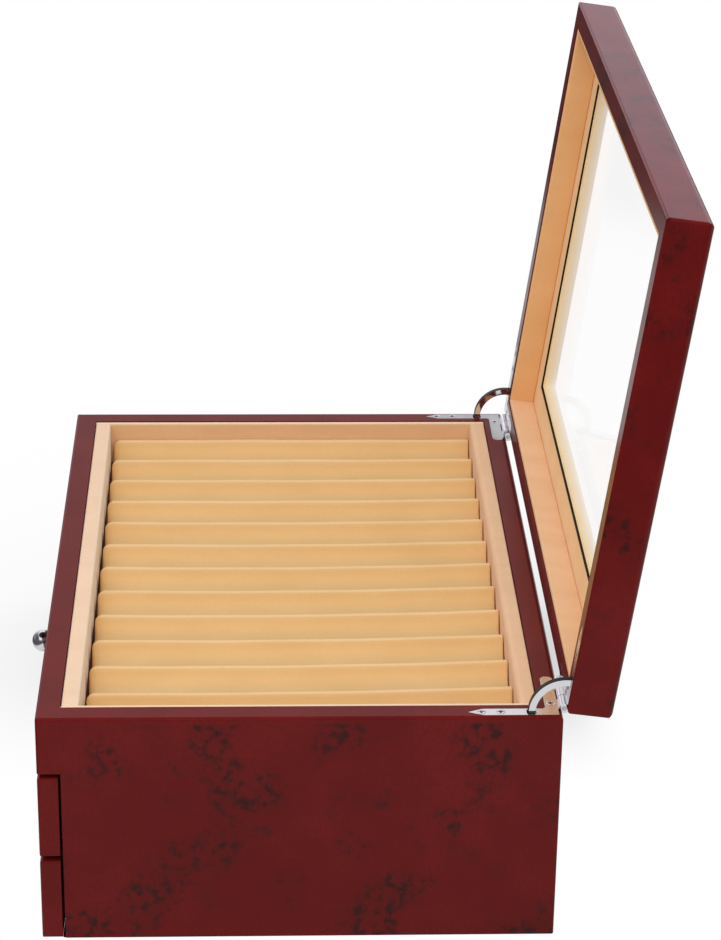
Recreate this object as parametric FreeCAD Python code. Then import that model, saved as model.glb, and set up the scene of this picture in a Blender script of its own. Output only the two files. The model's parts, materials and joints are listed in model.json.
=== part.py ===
import FreeCAD, Part
import math
import os

from FreeCAD import Vector

os.makedirs("parts", exist_ok=True)

# Case body. X runs along the length, the front faces -Y, and Z is up from the underside of the felt.
case_length = 324.0
case_depth = 220.0
body_height = 107.0             # panels, from the felt up to the rim
wall = 10.0                     # panel thickness, which is the width of the rim
edge_round = 1.2                # lacquered arrises
back_edge_round = 2.6           # arrises of the body and the lid that turn past each other
felt_thickness = 1.0
felt_inset = 3.0
front_rail_height = 26.3        # fixed rail above the drawers
bottom_thickness = 3.5
shelf_thickness = 3.5           # carries the upper drawer
tray_floor_thickness = 4.0

# Tan linings of the tray, the drawers and the lid
lining_thickness = 2.5          # left and right linings, and all four of the lid
ledge_width = 7.6               # padded bars along the front and back of the slots
ledge_round = 2.6               # inner top edge of a ledge
crest_drop = 9.1                # slot crests below the rim
groove_width = 23.05
groove_depth = 9.5
crest_width = 1.6               # flat between two grooves
insert_end_gap = 0.5            # left and right of an insert
insert_front_gap = 2.4          # an insert is pushed back, so that its gap shows in front
insert_back_gap = 0.4

# Drawers
front_gap = 2.3                 # dark line above each drawer front
drawer_front_thickness = 8.8
front_standoff = 1.2            # between a closed drawer front and the case's edges
front_overlap = 2.0             # the upper front hangs below the top of its shelf
drawer_wall = 7.0
drawer_bottom_thickness = 3.0
drawer_side_gap = 0.8
drawer_back_gap = 4.0
drawer_lift = 0.4               # running clearance under a drawer box
drawer_headroom = 2.0           # clearance above a drawer box

# Drawer knobs: a ball on a narrow neck, with a stud that goes into the drawer front
knob_ball_radius = 5.2
knob_ball_bands = 5             # flat bands that the ball is turned in
knob_reach = 8.5                # ball's centre from the drawer front
knob_neck_radius = 2.6
knob_stud_radius = 1.5
knob_stud_length = 6.5
knob_stud_play = 0.1

# Lid, drawn closed and then swung open about the hinge axis
lid_height = 19.6
lid_round = 3.0                 # top arrises
seat_gap = 0.3                  # between the two rims when the lid is shut
open_angle = 97.7               # where the stays stop the lid
lid_ledge_depth = 12.6          # from the lid's rim up to the ledge round the window
window_margin = 15.0            # width of that ledge inside the linings
window_trim_thickness = 0.8
gasket_width = 0.8
glass_thickness = 1.6
glass_lap = 5.0                 # rebate behind the trim
glass_gap = 0.4
reveal_thickness = 0.8
reveal_setback = 0.6            # reveal lining below the lid's top face

# Quadrant corner hinges
hinge_outset = 0.8              # axis behind the back faces
leaf_thickness = 1.8
leaf_width = 5.4
leaf_edge = 1.5                 # leaf from the end face
leaf_back = 2.6                 # leaf from the hinge axis
leaf_reach = 40.4               # tip of the long arm from the hinge axis
leaf_tip = 6.0                  # tapered length of the tip
leaf_return = 35.0              # end of the short arm from the end face
leaf_corner_round = 1.5         # inside corner between the arms
inlay_gap = 0.15
knuckle_radius = 2.2
knuckle_length = 8.2
knuckle_gap = 0.3
knuckle_count = 3
barrel_inset = 6.5              # barrel from the end face
barrel_play = 0.6
pin_radius = 1.1
pin_clearance = 0.04

# Curved stays that slide through slots in both leaves
stay_radius = 14.0
stay_depth = 3.0                # radial
stay_width = 2.6                # along X
stay_play = 0.5
stay_head_lip = 0.9
stay_head_length = 2.0
stay_stop_gap = 0.3             # head from the leaf at the open stop

# Planes that the pieces share
half_length = case_length / 2
half_depth = case_depth / 2
inner_x = half_length - wall
inner_y = half_depth - wall
rim = felt_thickness + body_height
rail_base = rim - front_rail_height
tray_base = rail_base + tray_floor_thickness
bottom_top = felt_thickness + bottom_thickness

front_pitch = (rail_base - felt_thickness) / 2
front_height = front_pitch - front_gap
front_back = -half_depth + drawer_front_thickness
opening_front = front_back + front_standoff
upper_front_base = felt_thickness + front_pitch
shelf_top = upper_front_base + front_overlap
shelf_base = shelf_top - shelf_thickness

axis_y = half_depth + hinge_outset
axis_z = rim + seat_gap / 2
lid_rim = rim + seat_gap
lid_top = lid_rim + lid_height
window_inset = wall + lining_thickness + window_margin
lid_ledge = lid_rim + lid_ledge_depth
glass_base = lid_ledge + window_trim_thickness
glass_top = glass_base + glass_thickness

leaf_outer_x = half_length - leaf_edge
leaf_inner_x = leaf_outer_x - leaf_width
leaf_middle_x = (leaf_outer_x + leaf_inner_x) / 2
leaf_back_y = axis_y - leaf_back
leaf_front_y = leaf_back_y - leaf_width
leaf_middle_y = (leaf_back_y + leaf_front_y) / 2
barrel_outer_x = half_length - barrel_inset
knuckle_pitch = knuckle_length + knuckle_gap
barrel_inner_x = barrel_outer_x - knuckle_count * knuckle_pitch + knuckle_gap


def save(name, solid):
    """Write one node."""
    solid.exportStep("parts/" + name + ".step")


def block(x0, x1, y0, y1, z0, z1):
    """Square block between opposite faces."""
    return Part.makeBox(x1 - x0, y1 - y0, z1 - z0, Vector(x0, y0, z0))


def inset_block(inset, z0, z1):
    """Block standing the same distance inside all four outer faces of the case."""
    return block(inset - half_length, half_length - inset, inset - half_depth, half_depth - inset, z0, z1)


def inset_ring(outer_inset, inner_inset, z0, z1):
    """Flat frame between two distances from the outer faces of the case."""
    return inset_block(outer_inset, z0, z1).cut(inset_block(inner_inset, z0, z1))


def across(shape):
    """The same shape at the other end of the case."""
    return shape.mirror(Vector(0, 0, 0), Vector(1, 0, 0))


def outline(corners, place):
    """Closed face through corners (a, b, radius), where a radius turns a corner into an arc."""
    turns = []
    for i, (a, b, radius) in enumerate(corners):
        corner = Vector(a, b, 0)
        back = (Vector(*corners[i - 1][:2], 0) - corner).normalize()
        ahead = (Vector(*corners[(i + 1) % len(corners)][:2], 0) - corner).normalize()
        half = back.getAngle(ahead) / 2
        reach = radius / math.tan(half)
        inward = (back + ahead).normalize() if radius else Vector(0, 0, 0)
        middle = corner + inward * (radius / math.sin(half) - radius)
        turns.append([place(p.x, p.y) for p in (corner + back * reach, middle, corner + ahead * reach)])
    edges = []
    for i, (start, middle, end) in enumerate(turns):
        if start.distanceToPoint(end) > 1e-6:
            edges.append(Part.Arc(start, middle, end).toShape())
        following = turns[(i + 1) % len(turns)][0]
        if end.distanceToPoint(following) > 1e-6:
            edges.append(Part.LineSegment(end, following).toShape())
    return Part.Face(Part.Wire(edges))


def along_x(corners, x0, x1):
    """Bar along X with a section of (y, z, radius) corners."""
    return outline(corners, lambda y, z: Vector(x0, y, z)).extrude(Vector(x1 - x0, 0, 0))


def along_y(corners, y0, y1):
    """Bar along Y with a section of (x, z, radius) corners."""
    return outline(corners, lambda x, z: Vector(x, y0, z)).extrude(Vector(0, y1 - y0, 0))


def along_z(corners, z0, z1):
    """Plate with an outline of (x, y, radius) corners."""
    return outline(corners, lambda x, y: Vector(x, y, z0)).extrude(Vector(0, 0, z1 - z0))


def rod_x(radius, x0, x1):
    """Round rod on the hinge axis."""
    return Part.makeCylinder(radius, x1 - x0, Vector(x0, axis_y, axis_z), Vector(1, 0, 0))


def rounded_form(y1, z0, z1, side, end, plan):
    """Block of the case's length from its front plane back to y1: what three rounded bars share.

    The radii of its edges are side (front lower, back lower, back upper, front upper) along X,
    end (lower, upper) along Y and plan (front, back) along Z.
    """
    x, y0 = half_length, -half_depth
    lengthwise = along_x([(y0, z0, side[0]), (y1, z0, side[1]), (y1, z1, side[2]), (y0, z1, side[3])], -x, x)
    crosswise = along_y([(-x, z0, end[0]), (x, z0, end[0]), (x, z1, end[1]), (-x, z1, end[1])], y0, y1)
    upright = along_z([(-x, y0, plan[0]), (x, y0, plan[0]), (x, y1, plan[1]), (-x, y1, plan[1])], z0, z1)
    return lengthwise.common(crosswise).common(upright)


def leaf_outline(grow, z0, z1):
    """L-shaped leaf plate with a pointed long arm and a round-ended short arm."""
    tip_y = axis_y - leaf_reach - grow
    shoulder_y = tip_y + leaf_tip
    short_end_x = half_length - leaf_return - grow
    end_round = leaf_width / 2 + grow
    return along_z([(leaf_outer_x + grow, shoulder_y, leaf_width), (leaf_outer_x + grow, leaf_back_y + grow, 0),
                    (short_end_x, leaf_back_y + grow, end_round), (short_end_x, leaf_front_y - grow, end_round),
                    (leaf_inner_x - grow, leaf_front_y - grow, leaf_corner_round),
                    (leaf_inner_x - grow, shoulder_y, leaf_width), (leaf_middle_x, tip_y, 0)], z0, z1)


def sector(r0, r1, start, end, x0, x1):
    """Part of a ring round the hinge axis, between angles that rise from the front."""
    corners = [Vector(x, axis_y - r, axis_z) for x, r in ((x0, r0), (x1, r0), (x1, r1), (x0, r1))]
    face = Part.Face(Part.makePolygon(corners + corners[:1]))
    centre = Vector(0, axis_y, axis_z)
    bar = face.revolve(centre, Vector(-1, 0, 0), end - start)
    bar.rotate(centre, Vector(-1, 0, 0), start)
    return bar


def flipped(shape):
    """The same shape on the lid's side of the parting plane."""
    return shape.mirror(Vector(0, 0, axis_z), Vector(0, 0, 1))


def knuckles(first):
    """Every second knuckle of a barrel, with the web that carries it on the body's leaf."""
    fused = []
    for i in range(first, knuckle_count, 2):
        x1 = barrel_outer_x - i * knuckle_pitch
        x0 = x1 - knuckle_length
        web = block(x0, x1, leaf_middle_y, axis_y, rim - leaf_thickness, rim)
        fused.append(rod_x(knuckle_radius, x0, x1).fuse(web))
    return fused


# Stay arms: the angle that one spans covers the opening, the two leaves and its two heads
stay_inner = stay_radius - stay_depth / 2
stay_outer = stay_radius + stay_depth / 2
head_angle = math.degrees(stay_head_length / stay_radius)
buried_depth = leaf_thickness + seat_gap / 2 + stay_stop_gap
buried_angle = math.degrees(math.asin(buried_depth / (stay_inner - stay_head_lip)))
stay_half_span = open_angle / 2 + buried_angle + head_angle
stay_x0 = leaf_middle_x - stay_width / 2
stay_x1 = leaf_middle_x + stay_width / 2


def stay_arm():
    """Curved flat bar with a head at both ends, drawn half way between the two leaves."""
    arm = sector(stay_inner, stay_outer, -stay_half_span, stay_half_span, stay_x0, stay_x1)
    for start in (-stay_half_span, stay_half_span - head_angle):
        arm = arm.fuse(sector(stay_inner - stay_head_lip, stay_outer + stay_head_lip,
                              start, start + head_angle, stay_x0, stay_x1))
    return arm.removeSplitter()


def leaf(first_knuckle, bore_radius):
    """Leaf of the body's rim: plate, knuckles, pin bore and stay slot."""
    plate = leaf_outline(0, rim - leaf_thickness, rim)
    plate = plate.fuse(knuckles(first_knuckle)).removeSplitter()
    bore = rod_x(bore_radius, barrel_inner_x, barrel_outer_x)
    slot = block(stay_x0 - stay_play, stay_x1 + stay_play, axis_y - stay_outer - stay_play,
                 axis_y - stay_inner + stay_play, rim - leaf_thickness, rim)
    return plate.cut([bore, slot])


def hinge_cutter():
    """What one hinge takes out of the body's rim: inlay, barrel notch and stay mortise."""
    inlay = leaf_outline(inlay_gap, rim - leaf_thickness, rim)
    barrel_x0 = barrel_inner_x - barrel_play
    barrel_x1 = barrel_outer_x + barrel_play
    webs = block(barrel_x0, barrel_x1, leaf_middle_y, axis_y, rim - leaf_thickness, rim)
    notch = rod_x(knuckle_radius + barrel_play, barrel_x0, barrel_x1)
    head_reach = stay_depth / 2 + stay_head_lip + stay_play
    end_play = math.degrees(stay_play / stay_radius)
    mortise = sector(stay_radius - head_reach, stay_radius + head_reach, -stay_half_span - end_play, 0,
                     stay_x0 - stay_play, stay_x1 + stay_play)
    return inlay.fuse([webs, notch, mortise])


right_cutter = hinge_cutter()
hinge_cutters = [right_cutter, across(right_cutter)]


# Body panels, cut from one rounded block
body = rounded_form(half_depth, felt_thickness, rim, (0, 0, back_edge_round, edge_round), (0, edge_round),
                    (edge_round, edge_round))
drawer_notch = block(-half_length, half_length, -half_depth, opening_front, felt_thickness, rail_base)
body = body.cut(hinge_cutters + [drawer_notch])

save("right_side_panel", body.common(block(inner_x, half_length, -half_depth, half_depth, felt_thickness, rim)))
save("left_side_panel", body.common(block(-half_length, -inner_x, -half_depth, half_depth, felt_thickness, rim)))
save("back_panel", body.common(block(-inner_x, inner_x, inner_y, half_depth, felt_thickness, rim)))
save("front_rail", body.common(block(-inner_x, inner_x, -half_depth, -inner_y, rail_base, rim)))
save("bottom_panel", block(-inner_x, inner_x, opening_front, inner_y, felt_thickness, bottom_top))
save("drawer_shelf", block(-inner_x, inner_x, opening_front, inner_y, shelf_base, shelf_top))
save("tray_floor", block(-inner_x, inner_x, -inner_y, inner_y, rail_base, tray_base))
save("base_felt", block(felt_inset - half_length, half_length - felt_inset, opening_front + felt_inset,
                        half_depth - felt_inset, 0, felt_thickness))


def slot_insert(half_x, y0, y1, z0, crest):
    """Moulded insert with round-bottomed grooves from front to back."""
    count = int((2 * half_x - crest_width) / (groove_width + crest_width))
    pitch = groove_width + crest_width
    edges = []
    last = Vector(-half_x, y0, crest)
    for i in range(count):
        centre = (i - (count - 1) / 2) * pitch
        left = Vector(centre - groove_width / 2, y0, crest)
        low = Vector(centre, y0, crest - groove_depth)
        right = Vector(centre + groove_width / 2, y0, crest)
        edges.append(Part.LineSegment(last, left).toShape())
        edges.append(Part.Arc(left, low, right).toShape())
        last = right
    for end in (Vector(half_x, y0, crest), Vector(half_x, y0, z0), Vector(-half_x, y0, z0),
                Vector(-half_x, y0, crest)):
        edges.append(Part.LineSegment(last, end).toShape())
        last = end
    return Part.Face(Part.Wire(edges)).extrude(Vector(0, y1 - y0, 0))


def save_linings(prefix, half_x, lining, y0, y1, z0, top):
    """Side linings, front and back ledges and slot insert that fill a tray or a drawer."""
    bed_x = half_x - lining
    save(prefix + "right_lining", block(bed_x, half_x, y0, y1, z0, top))
    save(prefix + "left_lining", block(-half_x, -bed_x, y0, y1, z0, top))
    ledge = [(y0, z0, 0), (y0 + ledge_width, z0, 0), (y0 + ledge_width, top, ledge_round), (y0, top, 0)]
    save(prefix + "front_ledge", along_x(ledge, -bed_x, bed_x))
    ledge = [(y1, z0, 0), (y1, top, 0), (y1 - ledge_width, top, ledge_round), (y1 - ledge_width, z0, 0)]
    save(prefix + "back_ledge", along_x(ledge, -bed_x, bed_x))
    insert_y0 = y0 + ledge_width + insert_front_gap
    insert_y1 = y1 - ledge_width - insert_back_gap
    save(prefix + "slot_insert", slot_insert(bed_x - insert_end_gap, insert_y0, insert_y1, z0, top - crest_drop))


save_linings("tray_", inner_x, lining_thickness, -inner_y, inner_y, tray_base, rim)


# Drawers: the fronts are flush with the case, and the boxes run on the shelf and on the bottom panel
opening_height = min(rail_base - shelf_top, shelf_base - bottom_top)
drawer_height = opening_height - drawer_lift - drawer_headroom
drawer_x = inner_x - drawer_side_gap
drawer_inner_x = drawer_x - drawer_wall
drawer_back = inner_y - drawer_back_gap
drawer_inner_back = drawer_back - drawer_wall


def knob(z):
    """Knob turned about a level line at height z: stud, neck and ball."""
    face = -half_depth
    ball = face - knob_reach
    neck_angle = math.asin(knob_neck_radius / knob_ball_radius)
    profile = [(0, face + knob_stud_length), (knob_stud_radius, face + knob_stud_length), (knob_stud_radius, face),
               (knob_neck_radius, face)]
    for i in range(knob_ball_bands + 1):
        angle = neck_angle + (math.pi - neck_angle) * i / knob_ball_bands
        profile.append((knob_ball_radius * math.sin(angle), ball + knob_ball_radius * math.cos(angle)))
    points = [Vector(0, y, z + radius) for radius, y in profile]
    return Part.Face(Part.makePolygon(points + points[:1])).revolve(Vector(0, 0, z), Vector(0, 1, 0), 360)


def save_drawer(prefix, front_base, support):
    """One drawer: overlaid front, box, linings, slot insert and knob."""
    base = support + drawer_lift
    top = base + drawer_height
    floor = base + drawer_bottom_thickness
    knob_z = front_base + front_height / 2
    front = rounded_form(front_back, front_base, front_base + front_height, (edge_round, 0, 0, edge_round),
                         (edge_round, edge_round), (edge_round, 0))
    stud_hole = Part.makeCylinder(knob_stud_radius + knob_stud_play, knob_stud_length + knob_stud_play,
                                  Vector(0, -half_depth, knob_z), Vector(0, 1, 0))
    save(prefix + "front", front.cut(stud_hole))
    save(prefix + "right_side", block(drawer_inner_x, drawer_x, front_back, drawer_back, base, top))
    save(prefix + "left_side", block(-drawer_x, -drawer_inner_x, front_back, drawer_back, base, top))
    save(prefix + "back", block(-drawer_inner_x, drawer_inner_x, drawer_inner_back, drawer_back, base, top))
    save(prefix + "bottom", block(-drawer_inner_x, drawer_inner_x, front_back, drawer_inner_back, base, floor))
    save_linings(prefix, drawer_inner_x, lining_thickness, front_back, drawer_inner_back, floor, top)
    save(prefix + "knob", knob(knob_z))


save_drawer("upper_drawer_", upper_front_base, shelf_top)
save_drawer("lower_drawer_", felt_thickness, bottom_top)


# Lid, drawn shut: a mitred frame with a rebated lip for the glass
def save_open(name, solid):
    """Write a node of the lid after swinging it to its open stop."""
    solid.rotate(Vector(0, axis_y, axis_z), Vector(-1, 0, 0), open_angle)
    save(name, solid)


frame = rounded_form(half_depth, lid_rim, lid_top, (edge_round, back_edge_round, lid_round, lid_round),
                     (edge_round, lid_round), (edge_round, edge_round))
frame = frame.cut([inset_block(wall, lid_rim, glass_base), inset_block(window_inset, lid_rim, lid_top),
                   inset_block(window_inset - glass_lap, lid_rim, glass_top)])
frame = frame.cut([flipped(cutter) for cutter in hinge_cutters])

mitre = window_inset + wall
end_wedge = along_z([(half_length, -half_depth, 0), (half_length, half_depth, 0),
                     (half_length - mitre, half_depth - mitre, 0),
                     (half_length - mitre, mitre - half_depth, 0)], lid_rim, lid_top)
back_wedge = along_z([(half_length, half_depth, 0), (-half_length, half_depth, 0),
                      (mitre - half_length, half_depth - mitre, 0),
                      (half_length - mitre, half_depth - mitre, 0)], lid_rim, lid_top)
front_wedge = back_wedge.mirror(Vector(0, 0, 0), Vector(0, 1, 0))
save_open("lid_right_rail", frame.common(end_wedge))
save_open("lid_left_rail", frame.common(across(end_wedge)))
save_open("lid_back_rail", frame.common(back_wedge))
save_open("lid_front_rail", frame.common(front_wedge))

lid_bed_x = inner_x - lining_thickness
lid_bed_y = inner_y - lining_thickness
save_open("lid_right_lining", block(lid_bed_x, inner_x, -inner_y, inner_y, lid_rim, lid_ledge))
save_open("lid_left_lining", block(-inner_x, -lid_bed_x, -inner_y, inner_y, lid_rim, lid_ledge))
save_open("lid_back_lining", block(-lid_bed_x, lid_bed_x, lid_bed_y, inner_y, lid_rim, lid_ledge))
save_open("lid_front_lining", block(-lid_bed_x, lid_bed_x, -inner_y, -lid_bed_y, lid_rim, lid_ledge))
save_open("lid_window_trim", inset_ring(wall, window_inset - gasket_width, lid_ledge, glass_base))
save_open("glazing_gasket", inset_ring(window_inset - gasket_width, window_inset, lid_ledge, glass_base))
save_open("lid_glass", inset_block(window_inset - glass_lap + glass_gap, glass_base, glass_top))
save_open("window_reveal_lining", inset_ring(window_inset, window_inset + reveal_thickness, glass_top,
                                             lid_top - reveal_setback))


# Hinges: the body's leaves hold the pins, and the lid's leaves turn on them
base_leaf = leaf(0, pin_radius)
lid_leaf = flipped(leaf(1, pin_radius + pin_clearance))
pin = rod_x(pin_radius, barrel_inner_x, barrel_outer_x)
save("right_base_leaf", base_leaf)
save("left_base_leaf", across(base_leaf))
save("right_hinge_pin", pin)
save("left_hinge_pin", across(pin))
save_open("left_lid_leaf", across(lid_leaf))
save_open("right_lid_leaf", lid_leaf)

stay = stay_arm()
stay.rotate(Vector(0, axis_y, axis_z), Vector(-1, 0, 0), open_angle / 2)
save("right_stay_arm", stay)
save("left_stay_arm", across(stay))
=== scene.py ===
import json
import math

import bmesh
import bpy
import numpy as np
from mathutils import Matrix, Vector


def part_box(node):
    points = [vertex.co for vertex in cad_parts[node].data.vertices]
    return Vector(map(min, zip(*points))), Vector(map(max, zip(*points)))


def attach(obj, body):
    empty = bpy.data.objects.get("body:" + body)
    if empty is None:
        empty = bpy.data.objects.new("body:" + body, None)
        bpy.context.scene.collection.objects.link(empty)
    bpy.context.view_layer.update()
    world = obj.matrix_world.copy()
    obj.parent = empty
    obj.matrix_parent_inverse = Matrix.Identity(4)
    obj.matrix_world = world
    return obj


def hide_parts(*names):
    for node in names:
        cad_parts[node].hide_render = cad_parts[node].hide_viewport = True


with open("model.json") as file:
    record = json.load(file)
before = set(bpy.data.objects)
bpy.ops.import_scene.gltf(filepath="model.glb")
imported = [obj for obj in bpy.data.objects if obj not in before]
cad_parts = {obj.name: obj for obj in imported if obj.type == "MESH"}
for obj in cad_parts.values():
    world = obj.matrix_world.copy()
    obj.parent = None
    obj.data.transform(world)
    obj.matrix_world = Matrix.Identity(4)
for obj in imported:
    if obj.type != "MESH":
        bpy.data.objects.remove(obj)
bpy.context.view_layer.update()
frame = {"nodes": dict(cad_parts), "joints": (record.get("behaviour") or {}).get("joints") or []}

# Case panels, front rail, lid rails and drawer fronts.
# Board faced with a reddish burl veneer whose dark eyes lie in loose groups, under a sprayed satin lacquer.
# The panels are glued edge to edge, and the lid's rails meet in mitres.


class Tone:
    """One output socket of a node tree, used like a number: each operator on it adds a Math node.

    node() adds any other node from its type, its settings and its sockets, and into() feeds the surface.
    """

    def __init__(self, tree, socket=None):
        self.tree = tree
        self.socket = socket

    def node(self, kind, settings, sockets, output=0):
        """Add a node: settings are set first, then each socket takes a value or a link."""
        made = self.tree.nodes.new("ShaderNode" + kind)
        for name, value in settings.items():
            setattr(made, name, value)
        for key, value in sockets.items():
            if isinstance(value, Tone):
                self.tree.links.new(value.socket, made.inputs[key])
            else:
                made.inputs[key].default_value = value
        return Tone(self.tree, made.outputs[output])

    def into(self, socket, node="Principled BSDF"):
        """Feed a named socket of the surface's own node."""
        self.tree.links.new(self.socket, self.tree.nodes[node].inputs[socket])

    def __add__(self, other):
        return self.node("Math", {"operation": "ADD"}, {0: self, 1: other})

    def __sub__(self, other):
        return self.node("Math", {"operation": "SUBTRACT"}, {0: self, 1: other})

    def __rsub__(self, other):
        return self.node("Math", {"operation": "SUBTRACT"}, {0: other, 1: self})

    def __mul__(self, other):
        return self.node("Math", {"operation": "MULTIPLY"}, {0: self, 1: other})

    __radd__ = __add__
    __rmul__ = __mul__


def finish_of(name, **sockets):
    """New material with these constants on its surface, and the Object coordinates of its piece."""
    material = bpy.data.materials.new(name)
    material.use_nodes = True
    tree = material.node_tree
    for key, value in sockets.items():
        tree.nodes["Principled BSDF"].inputs[key.replace("_", " ")].default_value = value
    return material, Tone(tree).node("TexCoord", {}, {}, "Object")


def cloud(place, scale, detail=2.0, roughness=0.5):
    """Noise from 0 to 1 with this many features per metre."""
    return place.node("TexNoise", {}, {"Vector": place, "Scale": scale, "Detail": detail,
                                       "Roughness": roughness})


def drawn_out(place, x, y, z):
    """Coordinates scaled along each axis, so that a pattern stretches along the smallest."""
    return place.node("Mapping", {}, {"Vector": place, "Scale": (x, y, z)})


def rise(value, low, high):
    """Smooth step from 0 at low to 1 at high."""
    return value.node("MapRange", {"interpolation_type": "SMOOTHSTEP"},
                      {"Value": value, "From Min": low, "From Max": high})


def between(share, first, second):
    """Colour from first to second by share; each is a tone or a linear red, green, blue."""
    ends = [c if isinstance(c, Tone) else (*c, 1.0) for c in (first, second)]
    return share.node("Mix", {"data_type": "RGBA"}, {0: share, 6: ends[0], 7: ends[1]}, 2)


def dented(height, strength, depth):
    """Bump from a height tone, by its strength and its depth in metres."""
    height.node("Bump", {}, {"Strength": strength, "Distance": depth, "Height": height}).into("Normal")


def paint(material, nodes):
    """Give each of these CAD nodes this material alone."""
    for node in nodes:
        mesh = frame["nodes"][node].data
        mesh.materials.clear()
        mesh.materials.append(material)


end_face, _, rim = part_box("right_side_panel")[1]
drawer_face_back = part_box("upper_drawer_front")[1][1]
rim_band_half = 0.004      # half height of the plain band along the rims
rim_band_core = 0.002      # half height that is quite plain
end_band_depth = 0.0006    # of the plain band on the drawer fronts' ends
leaf_cut = (1.176, 5.646, 9.021)    # where in the figure the veneer is cut
grove_scale = 27.0         # features of the figure per metre
knot_scale = 70.0
eye_scale = 230.0
eye_brown = (0.032, 0.0085, 0.0085)
knot_brown = (0.040, 0.0098, 0.0098)


def burl_lacquer():
    """Red-brown veneer: cloudy stain, fine flecks, and small dark eyes wherever two noises are both high.

    The leaf's cut picks the part of the figure that the case is faced with. The rims and the ends of the
    drawer fronts are edged with a plain band, which has no eyes.
    """
    material, place = finish_of("burl_lacquer", Specular_IOR_Level=0.12)
    stain = between(rise(cloud(place, 34.0, 3.0), 0.32, 0.70),
                    (0.132, 0.0072, 0.0066), (0.164, 0.0092, 0.0086))
    fleck = cloud(drawn_out(place, 1.0, 1.0, 0.45), 950.0, 2.0)
    stain = between(rise(fleck, 0.30, 0.75) * 0.42, stain, (0.095, 0.0058, 0.0058))
    x, y, z = (place.node("SeparateXYZ", {}, {0: place}, axis) for axis in "XYZ")
    rim_band = rise(z, rim - rim_band_half, rim - rim_band_core)
    rim_band = rim_band * (1 - rise(z, rim + rim_band_core, rim + rim_band_half))
    end_band = rise(x * x, (end_face - end_band_depth) ** 2, (end_face - end_band_depth / 3) ** 2)
    end_band = end_band * (1 - rise(y, drawer_face_back, drawer_face_back + end_band_depth))
    figured = (1 - rim_band) * (1 - end_band)
    leaf = place.node("Mapping", {}, {"Vector": place, "Location": leaf_cut})
    grove = rise(cloud(leaf, grove_scale, 1.0), 0.50, 0.64) * figured
    eyes = rise(cloud(leaf, eye_scale, 2.0, 0.55), 0.46, 0.68)
    knot = rise(cloud(leaf, knot_scale, 2.0, 0.55), 0.56, 0.76) * (eyes * 0.6 + 0.4) * figured
    stain = between(grove * (eyes * 0.74 + 0.14), stain, eye_brown)
    between(knot * 0.60, stain, knot_brown).into("Base Color")
    (cloud(place, 60.0) * 0.08 + 0.18).into("Roughness")
    dented(cloud(place, 420.0, 1.0), 0.04, 0.0002)
    return material


paint(burl_lacquer(), ["right_side_panel", "left_side_panel", "back_panel", "front_rail",
                       "lid_right_rail", "lid_left_rail", "lid_back_rail", "lid_front_rail",
                       "upper_drawer_front", "lower_drawer_front"])


# Bottom panel, drawer shelf, tray floor and the four walls and bottom of each drawer box.
# Plain boards, stained dark brown to suit the veneer and left nearly matt, with the grain along each board.
def stained_wood(name, x, y, z):
    """Dark straight-grained wood: two noises drawn out along the board, one broad and one fine."""
    material, place = finish_of(name, Specular_IOR_Level=0.25)
    along = drawn_out(place, x, y, z)
    grain = cloud(along, 95.0, 4.0, 0.6)
    pores = cloud(along, 700.0, 2.0)
    colour = between(rise(grain, 0.30, 0.70), (0.050, 0.017, 0.011), (0.105, 0.036, 0.022))
    between(rise(pores, 0.58, 0.72) * 0.5, colour, (0.030, 0.010, 0.008)).into("Base Color")
    (grain * 0.15 + 0.48).into("Roughness")
    dented(pores, 0.12, 0.0002)
    return material


long_grain = stained_wood("stained_wood_lengthwise", 0.08, 1.0, 1.0)
cross_grain = stained_wood("stained_wood_crosswise", 1.0, 0.08, 1.0)
paint(long_grain, ["bottom_panel", "drawer_shelf", "tray_floor"])
for drawer in ("upper_drawer_", "lower_drawer_"):
    paint(long_grain, [drawer + "back", drawer + "bottom"])
    paint(cross_grain, [drawer + "right_side", drawer + "left_side"])


# Felt under the base.
# One sheet of dense dark felt with a clean cut edge, a little smaller than the base and glued on.
crisp_fold = math.radians(50)       # a sharper one isn't shaded smooth


def skin(name, points, material, body, replaced=(), mark=None):
    """Piece from rows of closed loops of points; repeated points are merged and faces turned outwards.

    The optional mark is a number for each point, kept as an attribute that a finish can read.
    """
    rows, columns = points.shape[:2]
    point = np.arange((rows - 1) * columns).reshape(rows - 1, columns)
    beside = np.roll(point, -1, axis=1)
    faces = np.stack([point, beside, beside + columns, point + columns], -1).reshape(-1, 4)
    mesh = bpy.data.meshes.new(name)
    mesh.from_pydata(points.reshape(-1, 3), [], faces)
    if mark is not None:
        mesh.attributes.new("mark", "FLOAT", "POINT").data.foreach_set("value", mark.ravel())
    shell = bmesh.new()
    shell.from_mesh(mesh)
    bmesh.ops.remove_doubles(shell, verts=shell.verts, dist=1e-6)
    bmesh.ops.dissolve_degenerate(shell, edges=shell.edges, dist=1e-7)
    bmesh.ops.recalc_face_normals(shell, faces=shell.faces)
    shell.to_mesh(mesh)
    shell.free()
    mesh.polygons.foreach_set("use_smooth", np.ones(len(mesh.polygons), bool))
    mesh.set_sharp_from_angle(angle=crisp_fold)
    mesh.materials.append(material)
    piece = bpy.data.objects.new(name, mesh)
    bpy.context.scene.collection.objects.link(piece)
    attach(piece, body)
    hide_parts(*replaced)
    return piece


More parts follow.
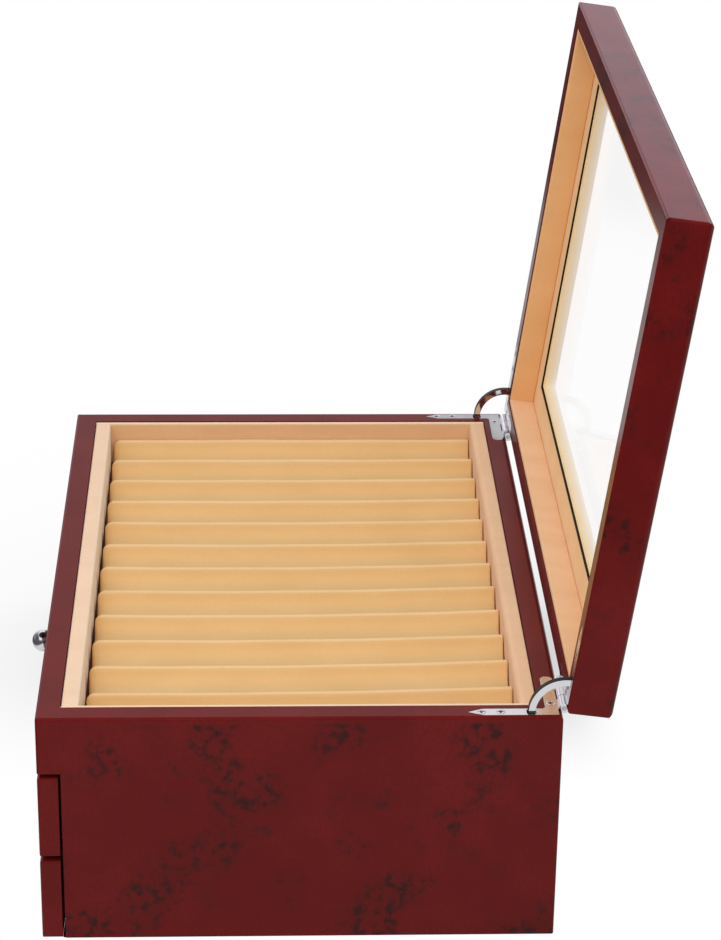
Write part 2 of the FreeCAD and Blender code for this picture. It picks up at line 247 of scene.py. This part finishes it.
def rounded_loop(half_a, half_b, radius, inset):
    """Rounded rectangles, one row for each inset; the radius is one for all, or one for each corner.

    The corner centres stay put while the corner radius shrinks by the inset. Three points between two
    corners keep the flat sides flat.
    """
    turn = np.linspace(0, math.pi / 2, 9)
    quarter = np.arange(4)[:, None] * math.pi / 2 + turn
    radius = np.broadcast_to(radius, 4)[:, None]
    centre = np.array([[1, 1], [-1, 1], [-1, -1], [1, -1]]) * ((half_a, half_b) - radius)
    reach = radius[..., None] - inset[:, None, None, None]
    arcs = centre[:, None] + np.stack([np.cos(quarter), np.sin(quarter)], -1) * reach
    start, end = arcs[:, :, -1:], np.roll(arcs, -1, axis=1)[:, :, :1]
    share = np.array([0.04, 0.5, 0.96])[:, None]
    return np.concatenate([arcs, start + (end - start) * share], axis=2).reshape(len(inset), -1, 2)


def wrapped_board(low, high, radius):
    """Board with soft edges along its longest side.

    A rounded rectangle is carried along the board. Over the last radius r at each end, the least of its
    corners', it shrinks by r(1 - sin t) and steps back by r(1 - cos t), and it closes on its middle line.
    """
    tip = np.min(radius)
    low, high = np.asarray(low), np.asarray(high)
    middle, half = (low + high) / 2, (high - low) / 2
    thin, wide, long = np.argsort(half)
    turn = np.linspace(0, math.pi / 2, 6)
    step, inset = tip * (1 - np.cos(turn)), tip * (1 - np.sin(turn))
    run = np.linspace(tip, 2 * half[long] - tip, 9)[1:-1]
    near = np.array([tip * 1.5])
    along = np.concatenate([step, near, run, 2 * half[long] - near, 2 * half[long] - step[::-1]])
    inset = np.concatenate([inset, np.zeros(len(run) + 2), inset[::-1]])
    loops = rounded_loop(half[wide], half[thin], radius, inset)
    points = np.empty((*loops.shape[:2], 3))
    points[..., wide] = middle[wide] + loops[..., 0]
    points[..., thin] = middle[thin] + loops[..., 1]
    points[..., long] = low[long] + along[:, None]
    ends = points[[0, -1]]
    ends[..., thin] = middle[thin]
    return np.concatenate([ends[:1], points, ends[1:]])


def felt():
    """Nearly black felt: coarse tangled fibres over a slow change of shade."""
    material, place = finish_of("felt", Roughness=0.95, Specular_IOR_Level=0.1, Sheen_Weight=0.15)
    fibre = cloud(place, 1500.0, 3.0, 0.7)
    shade = fibre * 0.6 + cloud(place, 40.0) * 0.4
    between(rise(shade, 0.3, 0.7), (0.010, 0.007, 0.007), (0.035, 0.027, 0.026)).into("Base Color")
    dented(fibre, 0.4, 0.0004)
    return material


felt_edge = 0.0001
felt_inset = 0.0018        # from the end faces
felt_play = 0.00002        # behind the lower drawer's front
felt_low, felt_high = (np.array(corner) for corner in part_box("base_felt"))
felt_low[:2] = felt_inset - end_face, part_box("lower_drawer_front")[1][1] + felt_play
felt_high[0] = end_face - felt_inset
skin("felt_sheet", wrapped_board(felt_low, felt_high, felt_edge), felt(), "base", ["base_felt"])


# Linings and ledges of the tray and of the drawers.
# Card and wooden bars wrapped in napped suede cloth and glued to the walls. The ledges are paler than the
# slots. The front ledges are painted paler and the back ones deeper, painted light and shade on one cloth,
# and the linings' tops and the front ledges' inner sides are painted paler still, a painted highlight.
def suede(name, deep, pale, painted_light=(0.900, 0.680, 0.480)):
    """Napped cloth: fine pile, brushed patches where the nap leans and shows paler, and painted light where
    marked.
    """
    material, place = finish_of(name, Roughness=0.92, Specular_IOR_Level=0.12, Sheen_Weight=0.12,
                                Sheen_Roughness=0.4)
    pile = cloud(place, 2400.0, 2.0, 0.6)
    brushed = cloud(drawn_out(place, 1.0, 0.35, 1.0), 75.0, 3.0)
    colour = between(rise(brushed * 0.4 + pile * 0.6, 0.30, 0.70), deep, pale)
    mark = place.node("Attribute", {"attribute_name": "mark"}, {}, "Fac")
    between(mark, colour, painted_light).into("Base Color")
    dented(pile, 0.22, 0.0003)
    return material


def fitted_box(node):
    """Corners of a lining or ledge, drawn in from the wall behind it and from the rim."""
    low, high = (np.array(corner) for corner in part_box(node))
    thin = np.argmin(high - low)
    if low[thin] + high[thin] > 0:
        high[thin] -= wall_gap
    else:
        low[thin] += wall_gap
    high[2] -= rim_drop
    return low, high


# The front and back ledges are one cloth: the front is painted paler and the back deeper, painted light and
# shade.
front_lit_suede = suede("front_ledge_suede", (0.850, 0.590, 0.415), (0.920, 0.670, 0.485),
                    (0.940, 0.860, 0.700))
back_shaded_suede = suede("back_ledge_suede", (0.770, 0.480, 0.292), (0.850, 0.553, 0.352))
wall_suede = suede("wall_suede", (0.725, 0.440, 0.240), (0.810, 0.515, 0.295))
board_round = 0.0007
front_ledge_round = 0.0013     # of a ledge's edge beside the slots
back_ledge_round = 0.0026
wall_gap = 0.0003
rim_drop = 0.0003
highlight_height = 0.0009       # of the painted highlight along the top of a lining
side_light_share = 0.7            # share of the painted light on the side of a front ledge

for body, prefix in (("base", "tray_"), ("upper_drawer", "upper_drawer_"),
                     ("lower_drawer", "lower_drawer_")):
    for node in (prefix + "right_lining", prefix + "left_lining"):
        low, high = fitted_box(node)
        board = wrapped_board(low, high, board_round)
        # Painted highlight: the top band of each lining is painted paler.
        painted_light = np.clip(1 - (high[2] - board[..., 2]) / highlight_height, 0, 1)
        skin(node + "_cloth", board, wall_suede, body, [node], painted_light)
    for node, cloth, corner, soft, share in (
            (prefix + "front_ledge", front_lit_suede, 0, front_ledge_round, side_light_share),
            (prefix + "back_ledge", back_shaded_suede, 3, back_ledge_round, 0.0)):
        low, high = fitted_box(node)
        rounds = np.full(4, board_round)
        rounds[corner] = soft
        bar = wrapped_board(low, high, rounds)
        # Painted light: the inner side of a front ledge is painted paler, where the lamps leave it in
        # shade.
        painted_light = np.clip(1 - (high[1] - bar[..., 1]) / soft, 0, 1) * share
        ledge = skin(node + "_cloth", bar, cloth, body, [node], painted_light)


# Slot inserts of the tray and of the drawers.
# Moulded foam with round-bottomed slots from front to back, flocked with the suede, pushed in between the
# ledges so that a dark gap stays in front. Its ends are softened, and it doesn't lie quite flat.
slot_width = 0.02305
slot_depth = 0.0095
crest_width = 0.0016
crest_softness = 0.0006
front_round = 0.0038
front_reach = 0.0008       # of the foam past its solid
back_round = 0.0010
crest_waver = 0.00012
corner_lift = 0.0026       # of the tray's insert at its right back corner
middle_sag = 0.0008


def flocking():
    """Suede flock: painted shade, greyer, in the slots' bottoms, a painted highlight along the crests by
    the mark, and painted shade, a deeper orange, on the ends.
    """
    material, place = finish_of("slot_flock", Roughness=0.92, Specular_IOR_Level=0.12, Sheen_Weight=0.12,
                                Sheen_Roughness=0.4)
    height = place.node("Attribute", {"attribute_name": "mark"}, {}, "Fac")
    pile = cloud(place, 2400.0, 2.0, 0.6)
    brushed = cloud(drawn_out(place, 1.0, 0.35, 1.0), 75.0, 3.0)
    nap = rise(brushed * 0.4 + pile * 0.6, 0.30, 0.70)
    # Painted shade: the slots' bottoms are greyer and darker than their walls.
    bottom = between(nap, (0.640, 0.432, 0.208), (0.705, 0.490, 0.248))
    wall = between(nap, (0.745, 0.470, 0.205), (0.815, 0.530, 0.245))
    # Painted highlight: a paler band along each crest.
    crest = between(nap, (0.830, 0.600, 0.340), (0.890, 0.660, 0.400))
    colour = between(rise(height, 0.05, 0.55), bottom, wall)
    colour = between(rise(height, 0.93, 1.0) * 0.55, colour, crest)
    # Painted shade: a deeper orange on the ends, where the slots round off.
    facing = place.node("TexCoord", {}, {}, "Normal")
    endways = facing.node("SeparateXYZ", {}, {0: facing}, "Y")
    between(rise(endways * endways, 0.10, 0.85) * 0.60, colour, (0.680, 0.330, 0.095)).into("Base Color")
    dented(pile, 0.22, 0.0003)
    return material


def soft_lesser(a, b, softness):
    """Lesser of two heights, with the corner between them rounded off."""
    return (a + b - np.sqrt((a - b) ** 2 + softness ** 2)) / 2


def end_fall(distance, radius):
    """Drop of a quarter circle of this radius, by the distance from the end that it rounds off."""
    return radius - np.sqrt(radius ** 2 - np.maximum(radius - distance, 0) ** 2)


def slotted_foam(low, high, lift, sag):
    """Insert whose top follows arcs across it.

    In each slot the height is an arc of the slot's width and depth, softly cut off at the crest; near the
    front and the back it falls by a quarter circle. The top lifts with the cube of the way to the back
    times the way to the right, sags by a sine each way, and wavers by two crossed sines. The loops go over
    the top and back underneath, and the end rows close on the line half way up. Returns the points and, as
    a mark, the height of each in its slot from 0 to 1.
    """
    low = np.array(low) - (0, front_reach, 0)
    pitch = slot_width + crest_width
    count = int((high[0] - low[0] - crest_width) / pitch)
    arc = (slot_width ** 2 / 4 + slot_depth ** 2) / (2 * slot_depth)
    spread = np.sin(np.linspace(-1, 1, 27) * math.pi / 2)[:-1] * pitch / 2
    centres = (np.arange(count) - (count - 1) / 2) * pitch
    x = np.concatenate([[low[0]], (centres[:, None] + spread).ravel(), [centres[-1] + pitch / 2, high[0]]])
    off_centre = np.min(np.abs(x[:, None] - centres), axis=1)
    drop = np.sqrt(np.maximum(arc ** 2 - off_centre ** 2, 0)) - (arc - slot_depth)

    tip = 1 - np.cos(np.linspace(0, math.pi / 2, 8))
    depth = high[1] - low[1]
    middle = np.linspace(front_round, depth - back_round, 34)[1:-1]
    along = np.concatenate([front_round * tip, middle, depth - back_round * tip[::-1]])
    fall = end_fall(along, front_round) + end_fall(depth - along, back_round)

    y = (low[1] + along)[:, None]
    to_back, to_right = (along / depth)[:, None], (x - low[0]) / (high[0] - low[0])
    bed = lift * to_back ** 3 * to_right - sag * np.sin(math.pi * to_back) * np.sin(math.pi * to_right)
    waver = crest_waver * np.sin(y * 71 + x * 190) * np.sin(y * 33 - x * 57)
    top = high[2] + soft_lesser(0.0, -drop, crest_softness) + bed + waver - fall[:, None]
    over = np.stack(np.broadcast_arrays(x, y, top), -1)
    under = over[:, ::-1].copy()
    under[..., 2] = low[2]
    points = np.concatenate([over, under], axis=1)
    half_way = (over[..., 2] + low[2]) / 2
    ends = points[[0, -1]]
    ends[..., 2] = np.concatenate([half_way, half_way[:, ::-1]], axis=1)[[0, -1]]
    points = np.concatenate([ends[:1], points, ends[1:]])
    rise_in_slot = 1 - np.clip(np.concatenate([drop, drop[::-1]]) / slot_depth, 0, 1)
    return points, np.broadcast_to(rise_in_slot, points.shape[:2])


slot_flock = flocking()
for body, prefix, lift, sag in (("base", "tray_", corner_lift, middle_sag),
                                ("upper_drawer", "upper_drawer_", 0.0, 0.0),
                                ("lower_drawer", "lower_drawer_", 0.0, 0.0)):
    node = prefix + "slot_insert"
    foam, slot_height = slotted_foam(*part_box(node), lift, sag)
    insert = skin(node + "_foam", foam, slot_flock, body, [node], slot_height)


# Linings of the lid.
# Four strips of suede-wrapped card, glued inside the rails from just short of the rim to the ledge round
# the window; the back one is the same cloth painted paler, a painted sheen. They are drawn with the lid
# shut and swung open about the hinge.
hinge = next(joint for joint in frame["joints"] if joint["name"] == "lid_hinge")
pivot = hinge["pos_m"]
shut = math.radians(hinge["range_deg"][1])


def swung(points, angle):
    """Points turned about the hinge axis: x stays, and y and z turn round the pivot."""
    y, z = points[..., 1] - pivot[1], points[..., 2] - pivot[2]
    sine, cosine = math.sin(angle), math.cos(angle)
    return np.stack([points[..., 0], pivot[1] + y * cosine - z * sine,
                     pivot[2] + y * sine + z * cosine], -1)


def shut_box(node):
    """Lowest and highest corner of a node of the lid when the lid is shut."""
    vertices = frame["nodes"][node].data.vertices
    points = np.empty(len(vertices) * 3)
    vertices.foreach_get("co", points)
    points = swung(points.reshape(-1, 3), shut)
    return points.min(axis=0), points.max(axis=0)


lid_rim_drop = 0.0005
lid_suede = suede("lid_suede", (0.775, 0.430, 0.185), (0.865, 0.505, 0.240))
# The back lining is the same cloth painted paler, a painted sheen.
lid_back_suede = suede("lid_back_suede", (0.800, 0.477, 0.261), (0.890, 0.560, 0.338))
for node, cloth in (("lid_right_lining", lid_suede), ("lid_left_lining", lid_suede),
                    ("lid_back_lining", lid_back_suede), ("lid_front_lining", lid_suede)):
    low, high = shut_box(node)
    low[2] += lid_rim_drop
    strip = swung(wrapped_board(low, high, board_round), -shut)
    skin(node + "_cloth", strip, cloth, "lid", [node])


# Trim round the window and lining of the window's reveal.
# Suede over thin card: the trim covers the ledge round the glass from inside, and the reveal is lined from
# the trim up, where it shows through the glass as a strip painted paler towards the outside, a painted
# light from beyond the glass.
def framed(low, high, width, radius):
    """Frame with mitred corners: a rounded strip section is carried round a rectangle.

    A point of the path lies on the edge of a square from -1 to 1 and is scaled by the half sizes less the
    section's distance inwards, so that the corners mitre.
    """
    middle, half = (low + high) / 2, (high - low) / 2
    section = rounded_loop(width / 2, half[2], radius, np.zeros(1))[0]
    inwards, height = section[:, 0] + width / 2, section[:, 1]
    side = np.linspace(-1, 1, 9)[:-1]
    one = np.ones_like(side)
    sides = ((side, -one), (one, side), (-side, one), (-one, -side))
    path = np.concatenate([np.stack(pair, -1) for pair in sides])
    path = np.concatenate([path, path[:1]])
    plane = middle[:2] + path[:, None] * (half[:2] - inwards[:, None])
    rows = np.broadcast_to(middle[2] + height, plane.shape[:2])
    return np.concatenate([plane, rows[..., None]], axis=-1)


trim_low, trim_high = shut_box("lid_window_trim")
gasket_low, _ = shut_box("glazing_gasket")
reveal_low, reveal_high = shut_box("window_reveal_lining")
card_round = 0.0003
reveal_width = 0.0008
reveal_step = 0.0001       # below the lid's top face
trim = swung(framed(trim_low, trim_high, gasket_low[0] - trim_low[0], card_round), -shut)
trim_suede = suede("trim_suede", (0.880, 0.560, 0.280), (0.950, 0.630, 0.340))
skin("window_trim_cloth", trim, trim_suede, "lid", ["lid_window_trim"])
reveal_low[2] = trim_high[2]
reveal_high[2] = shut_box("lid_front_rail")[1][2] - reveal_step
reveal = framed(reveal_low, reveal_high, reveal_width, card_round)
# Painted light: a cream cloth, made paler to stand in for light from beyond the glass, and painted paler
# still towards the lid's top face.
outside_light = (reveal[..., 2] - reveal_low[2]) / (reveal_high[2] - reveal_low[2])
reveal_suede = suede("reveal_suede", (0.920, 0.640, 0.300), (0.960, 0.700, 0.360), (0.970, 0.930, 0.840))
skin("window_reveal_cloth", swung(reveal, -shut), reveal_suede, "lid",
     ["window_reveal_lining"], outside_light)


# Gasket and glass.
# A thin black rubber strip lies under the edge of the glass, which is 1.6 mm float glass with eased edges,
# set into the lined reveal.
glass_play = 0.00005
glass_round = 0.0002


def black_rubber():
    """Matt black rubber with a faint bloom."""
    material, place = finish_of("black_rubber", Specular_IOR_Level=0.12)
    bloom = cloud(place, 300.0, 3.0)
    between(bloom, (0.008, 0.004, 0.003), (0.016, 0.008, 0.006)).into("Base Color")
    (bloom * 0.2 + 0.5).into("Roughness")
    return material


def float_glass():
    """Clear glass, a trace greener in soft streaks."""
    material, place = finish_of("float_glass", Roughness=0.0, IOR=1.45, Alpha=0.08, Transmission_Weight=1.0)
    streak = cloud(drawn_out(place, 1.0, 0.2, 0.2), 20.0, 3.0)
    between(streak, (1.0, 1.0, 1.0), (0.985, 0.995, 0.990)).into("Base Color")
    return material


paint(black_rubber(), ["glazing_gasket"])
pane_low, pane_high = shut_box("lid_glass")
pane_low[:2] = reveal_low[:2] + reveal_width + glass_play
pane_high[:2] = reveal_high[:2] - reveal_width - glass_play
pane = swung(wrapped_board(pane_low, pane_high, glass_round), -shut)
skin("lid_pane", pane, float_glass(), "lid", ["lid_glass"])


# Hinges, pins and stays.
# Quadrant hinges of polished, chromed brass: a leaf let into each rim, knuckles round a steel pin, and a
# curved stay that slides through both leaves, coloured black along its outer running face.
stay_outer = 0.0155        # radius of the running face from the hinge axis
dark_band_edge = 0.0003


def chrome(name, dull):
    """Plate that is dull by so much, with faint wiping marks, and painted shade, dark, where a screw is
    marked as sunk into its cross or the gap round its head.
    """
    material, place = finish_of(name, Metallic=1.0)
    sunk_shade = place.node("Attribute", {"attribute_name": "mark"}, {}, "Fac")
    marks = cloud(drawn_out(place, 0.3, 1.0, 1.0), 220.0, 2.0)
    plate = between(marks, (0.75, 0.74, 0.77), (0.80, 0.79, 0.82))
    between(sunk_shade, plate, (0.05, 0.05, 0.05)).into("Base Color")
    (rise(marks, 0.3, 0.7) * 0.03 + dull + sunk_shade * 0.3).into("Roughness")
    return material


def drawn_steel():
    """Drawn wire: fine lines along its length."""
    material, place = finish_of("drawn_steel", Metallic=1.0)
    lines = cloud(drawn_out(place, 0.05, 1.0, 1.0), 2500.0, 2.0)
    between(lines, (0.48, 0.48, 0.50), (0.66, 0.66, 0.68)).into("Base Color")
    (lines * 0.2 + 0.2).into("Roughness")
    return material


def greased_chrome():
    """Bright plate that is black from just inside the running face's radius."""
    material, place = finish_of("greased_chrome", Metallic=1.0)
    y, z = (place.node("SeparateXYZ", {}, {0: place}, axis) - pivot["XYZ".index(axis)] for axis in "YZ")
    dark_band = rise(y * y + z * z, (stay_outer - dark_band_edge) ** 2, (stay_outer - dark_band_edge / 3) ** 2)
    marks = cloud(drawn_out(place, 0.3, 1.0, 1.0), 220.0, 2.0)
    plate = between(marks, (0.75, 0.74, 0.77), (0.80, 0.79, 0.82))
    between(dark_band, plate, (0.012, 0.011, 0.011)).into("Base Color")
    (marks * 0.04 + 0.04 + dark_band * 0.3).into("Roughness")
    return material


satin_chrome = chrome("satin_chrome", 0.12)
bright_chrome = chrome("bright_chrome", 0.05)
paint(satin_chrome, ["right_base_leaf", "left_base_leaf", "right_lid_leaf", "left_lid_leaf"])
paint(greased_chrome(), ["right_stay_arm", "left_stay_arm"])
paint(drawn_steel(), ["right_hinge_pin", "left_hinge_pin"])


# Screws of the hinge leaves.
# Small countersunk screws with a cross recess, chromed like the leaves. Each leaf has three, let in almost
# flush so that the lid shuts.
screw_radius = 0.0020
screw_height = 0.00010
screw_sunk = 0.00005
cross_width = 0.00042
cross_reach = 0.0014
leaf_edge = 0.0015        # of the long arm, from the end face
leaf_back = 0.0026        # of the short arm, from the hinge axis
leaf_width = 0.0054
arm_screws = (0.0269, 0.0350)    # along the long arm, from the hinge axis
corner_screw = 0.0115            # along the short arm, from the end face


def screw_head():
    """Head on a polar grid: flat, falling off as the tenth power of the radius, with a sunk cross.

    Returns the points, with z up from the leaf, and how far into the cross or the edge's gap each one lies.
    """
    ring = np.concatenate([np.linspace(0, 1, 26), [1.0, 0.0]])[:, None]
    around = np.linspace(0, 2 * math.pi, 73)[:-1]
    x, y = screw_radius * ring * np.cos(around), screw_radius * ring * np.sin(around)
    inside = np.clip(3 - 3 * np.minimum(np.abs(x), np.abs(y)) / cross_width, 0, 1)
    inside *= np.clip(3 * (cross_reach - np.hypot(x, y)) / cross_width, 0, 1)
    z = screw_height * (1 - ring ** 10 - inside)
    z[-2:] = -screw_sunk
    return np.stack([x, y, z], -1), np.maximum(inside, np.clip(12 * ring - 11, 0, 1))


arm_middle = end_face - leaf_edge - leaf_width / 2
screw_spots = [(arm_middle, pivot[1] - distance) for distance in arm_screws]
screw_spots.append((end_face - corner_screw, pivot[1] - leaf_back - leaf_width / 2))
# The mark gives how far into the cross and the edge's gap each point lies; the chrome paints these dark, a
# painted shade in the recesses.
head, cross = screw_head()
for end, side in (("right", 1), ("left", -1)):
    for number, (x, y) in enumerate(screw_spots, 1):
        base_screw = head + (side * x, y, rim)
        lid_screw = base_screw * (1, 1, -1) + (0, 0, 2 * pivot[2])
        name = f"{end}_base_screw_{number}"
        skin(name, base_screw, bright_chrome, "base", mark=cross)
        name = f"{end}_lid_screw_{number}"
        skin(name, swung(lid_screw, -shut), bright_chrome, "lid", mark=cross)


# Drawer knobs.
# Turned brass balls on a waisted neck, polished and chromed, screwed into the middle of each drawer front.
ball_radius = 0.0052
neck_radius = 0.0026
foot_radius = 0.0036
foot_height = 0.0009
foot_round = 0.00036
neck_flare = 1.15          # of the neck where it meets the ball


def turned_knob(low, face):
    """Knob turned about an axis along y: a foot, a waist that flows into the ball, and the ball's arc.

    The radius along the waist falls and rises with a squared sine between the foot and the ball.
    """
    height = face - low[1]
    join = math.pi - math.asin(neck_radius * neck_flare / ball_radius)
    arc = np.linspace(0, join, 30)
    ball = np.stack([ball_radius * np.sin(arc), ball_radius * (1 - np.cos(arc))], -1)
    waist = np.linspace(0, 1, 10)[1:-1]
    ends = ball[-1, 0] + (foot_radius - ball[-1, 0]) * waist
    waist_radius = ends - (ends - neck_radius) * np.sin(math.pi * waist) ** 2
    waist_height = ball[-1, 1] + (height - foot_height - ball[-1, 1]) * waist
    foot_turn = np.linspace(0, math.pi / 2, 5)
    foot = np.stack([foot_radius - foot_round * (1 - np.sin(foot_turn)),
                     height - foot_height + foot_round * (1 - np.cos(foot_turn))], -1)
    profile = np.concatenate([ball, np.stack([waist_radius, waist_height], -1), foot,
                              [[foot_radius, height], [0.0, height]]])
    around = np.linspace(0, 2 * math.pi, 65)[:-1]
    reach, along = profile[:, :1], profile[:, 1:]
    return np.stack(np.broadcast_arrays(reach * np.cos(around), along, reach * np.sin(around)), -1)


for drawer in ("upper_drawer", "lower_drawer"):
    low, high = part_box(drawer + "_knob")
    axis = ((low[0] + high[0]) / 2, low[1], (low[2] + high[2]) / 2)
    knob = turned_knob(low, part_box(drawer + "_front")[0][1]) + axis
    skin(drawer + "_turned_knob", knob, bright_chrome, drawer, [drawer + "_knob"])


# Studio: a pale floor, soft light from above and from the camera's side, and the camera.
# The floor and the backdrop are white to the camera, and the floor keeps a soft shadow beside the case.
# A mirror sees white paper behind the case and a white horizon, then a dark flag, dim sides and a dark
# ceiling.
floor_size = 12.0
floor_grey = (0.52, 0.52, 0.52)    # that lights the case from below
shaded_grey = (0.40, 0.40, 0.40)   # to the camera, in the shadow
mirror_grey = (0.10, 0.10, 0.10)   # to a mirror, off the paper
paper_back = (-1.0, -0.8)      # x where the mirrored paper begins
paper_front = (0.42, 0.60)     # and where it ends
paper_left = (-0.24, -0.16)    # y where it begins
mirror_share = 0.6             # of the paper's white that a mirror shows
shade_end = (-0.10, 0.04)      # x where the shadow ends
shade_back = (0.135, 0.165)    # y where it ends
shade_deep = (0.0, 0.1)        # y over which it doubles
shadow_share = 0.85
shadow_reach = 0.30
sky_light = 0.65
aim = Vector((0.0, 0.0, 0.10))     # the softboxes face the tray

floor_mesh = bpy.data.meshes.new("studio_floor")
corners = np.array([[-1, -1, 0], [1, -1, 0], [1, 1, 0], [-1, 1, 0]]) * floor_size / 2
floor_mesh.from_pydata(corners, [], [(0, 1, 2, 3)])
floor = bpy.data.objects.new("studio_floor", floor_mesh)
bpy.context.scene.collection.objects.link(floor)


def white_to(start):
    """1 for the rays that see the backdrop itself: from the camera or through glass; else 0."""
    camera_ray = start.node("LightPath", {}, {}, "Is Camera Ray")
    through_ray = start.node("LightPath", {}, {}, "Is Transmission Ray")
    return start.node("Math", {"operation": "MAXIMUM"}, {0: camera_ray, 1: through_ray})


paper, place = finish_of("studio_paper", Roughness=0.9, Specular_IOR_Level=0.0)
mirror_ray = place.node("LightPath", {}, {}, "Is Glossy Ray")
along = place.node("SeparateXYZ", {}, {0: place}, "X")
aside = place.node("SeparateXYZ", {}, {0: place}, "Y")
on_paper = rise(along, *paper_back) * (1 - rise(along, *paper_front)) * rise(aside, *paper_left)
sheltered = 1 - place.node("AmbientOcclusion", {}, {"Distance": shadow_reach}, "AO")
shaded_side = (1 - rise(along, *shade_end)) * (1 - rise(aside, *shade_back))
shadow = sheltered * shaded_side * (rise(aside, *shade_deep) * 0.5 + 0.5) * shadow_share
colour = between(white_to(place), floor_grey, shaded_grey)
between(mirror_ray * (1 - on_paper), colour, mirror_grey).into("Base Color")
lit = Tone(place.tree, place.tree.nodes["Principled BSDF"].outputs[0])
white = place.node("Emission", {}, {"Color": (1.0, 1.0, 1.0, 1.0), "Strength": 1.0})
seen = white_to(place) * (1 - shadow) + mirror_ray * on_paper * mirror_share
place.node("MixShader", {}, {0: seen, 1: lit, 2: white}).into("Surface", "Material Output")
floor_mesh.materials.append(paper)

world = bpy.data.worlds.new("studio_sky")
world.use_nodes = True
bpy.context.scene.world = world
start = Tone(world.node_tree)
glossy_ray = start.node("LightPath", {}, {}, "Is Glossy Ray")
direction = start.node("TexCoord", {}, {}, "Generated")
near, sideways, height = (start.node("SeparateXYZ", {}, {0: direction}, axis) for axis in "XYZ")
behind = 1 - rise(near, -0.5, 0.1)
flag = rise(height, 0.31, 0.36) * (1 - rise(height, 0.42, 0.50)) * behind
ceiling = rise(height, 0.72, 0.85)
window = rise(sideways, -0.75, -0.55) * (1 - rise(sideways, -0.25, -0.10)) * rise(height, 0.35, 0.50)
front_side = 1 - rise(sideways, -0.75, -0.30)
dim = (1 - behind) * (1 - window) * 0.90 + behind * front_side * 0.75
mirrored = (1 - flag * 0.50 - ceiling * 0.97) * (1 - dim)
strength = glossy_ray * (mirrored - sky_light) + sky_light
(white_to(start) * (1 - strength) + strength).into("Strength", "Background")
horizon = glossy_ray * (1 - rise(height, 0.28, 0.34))
between(horizon, (1.0, 1.0, 1.0), (1.22, 1.11, 1.25)).into("Color", "Background")

for name, size, power, spot in (("overhead_softbox", 1.8, 10.8, (0.65, -0.15, 1.45)),
                                ("camera_side_softbox", 0.9, 3.6, (1.45, -0.25, 0.95))):
    lamp = bpy.data.lights.new(name, "AREA")
    lamp.size = size
    lamp.energy = power
    light = bpy.data.objects.new(name, lamp)
    light.rotation_mode = "QUATERNION"
    light.rotation_quaternion = (aim - Vector(spot)).to_track_quat("-Z", "Y")
    light.location = spot
    light.visible_glossy = False
    light.visible_transmission = False
    bpy.context.scene.collection.objects.link(light)

eye = (1.19838, -0.01918, 0.68426)
yaw, pitch, roll = math.radians(2.365), math.radians(24.081), math.radians(0.841)
focal_share = 2844.3 / 940           # focal length over the picture's long side
sensor = 36.0
ahead = Vector((-math.cos(pitch) * math.cos(yaw), math.cos(pitch) * math.sin(yaw), -math.sin(pitch)))
level = Vector((math.sin(yaw), math.cos(yaw), 0.0))
upright = level.cross(ahead)
across = level * math.cos(roll) + upright * math.sin(roll)
upward = upright * math.cos(roll) - level * math.sin(roll)
camera_data = bpy.data.cameras.new("camera")
camera_data.sensor_width = sensor
camera_data.lens = focal_share * sensor
camera = bpy.data.objects.new("camera", camera_data)
camera.matrix_world = Matrix.Translation(eye) @ Matrix((across, upward, -ahead)).transposed().to_4x4()
bpy.context.scene.collection.objects.link(camera)
bpy.context.scene.camera = camera
bpy.context.scene.view_settings.view_transform = "Standard"
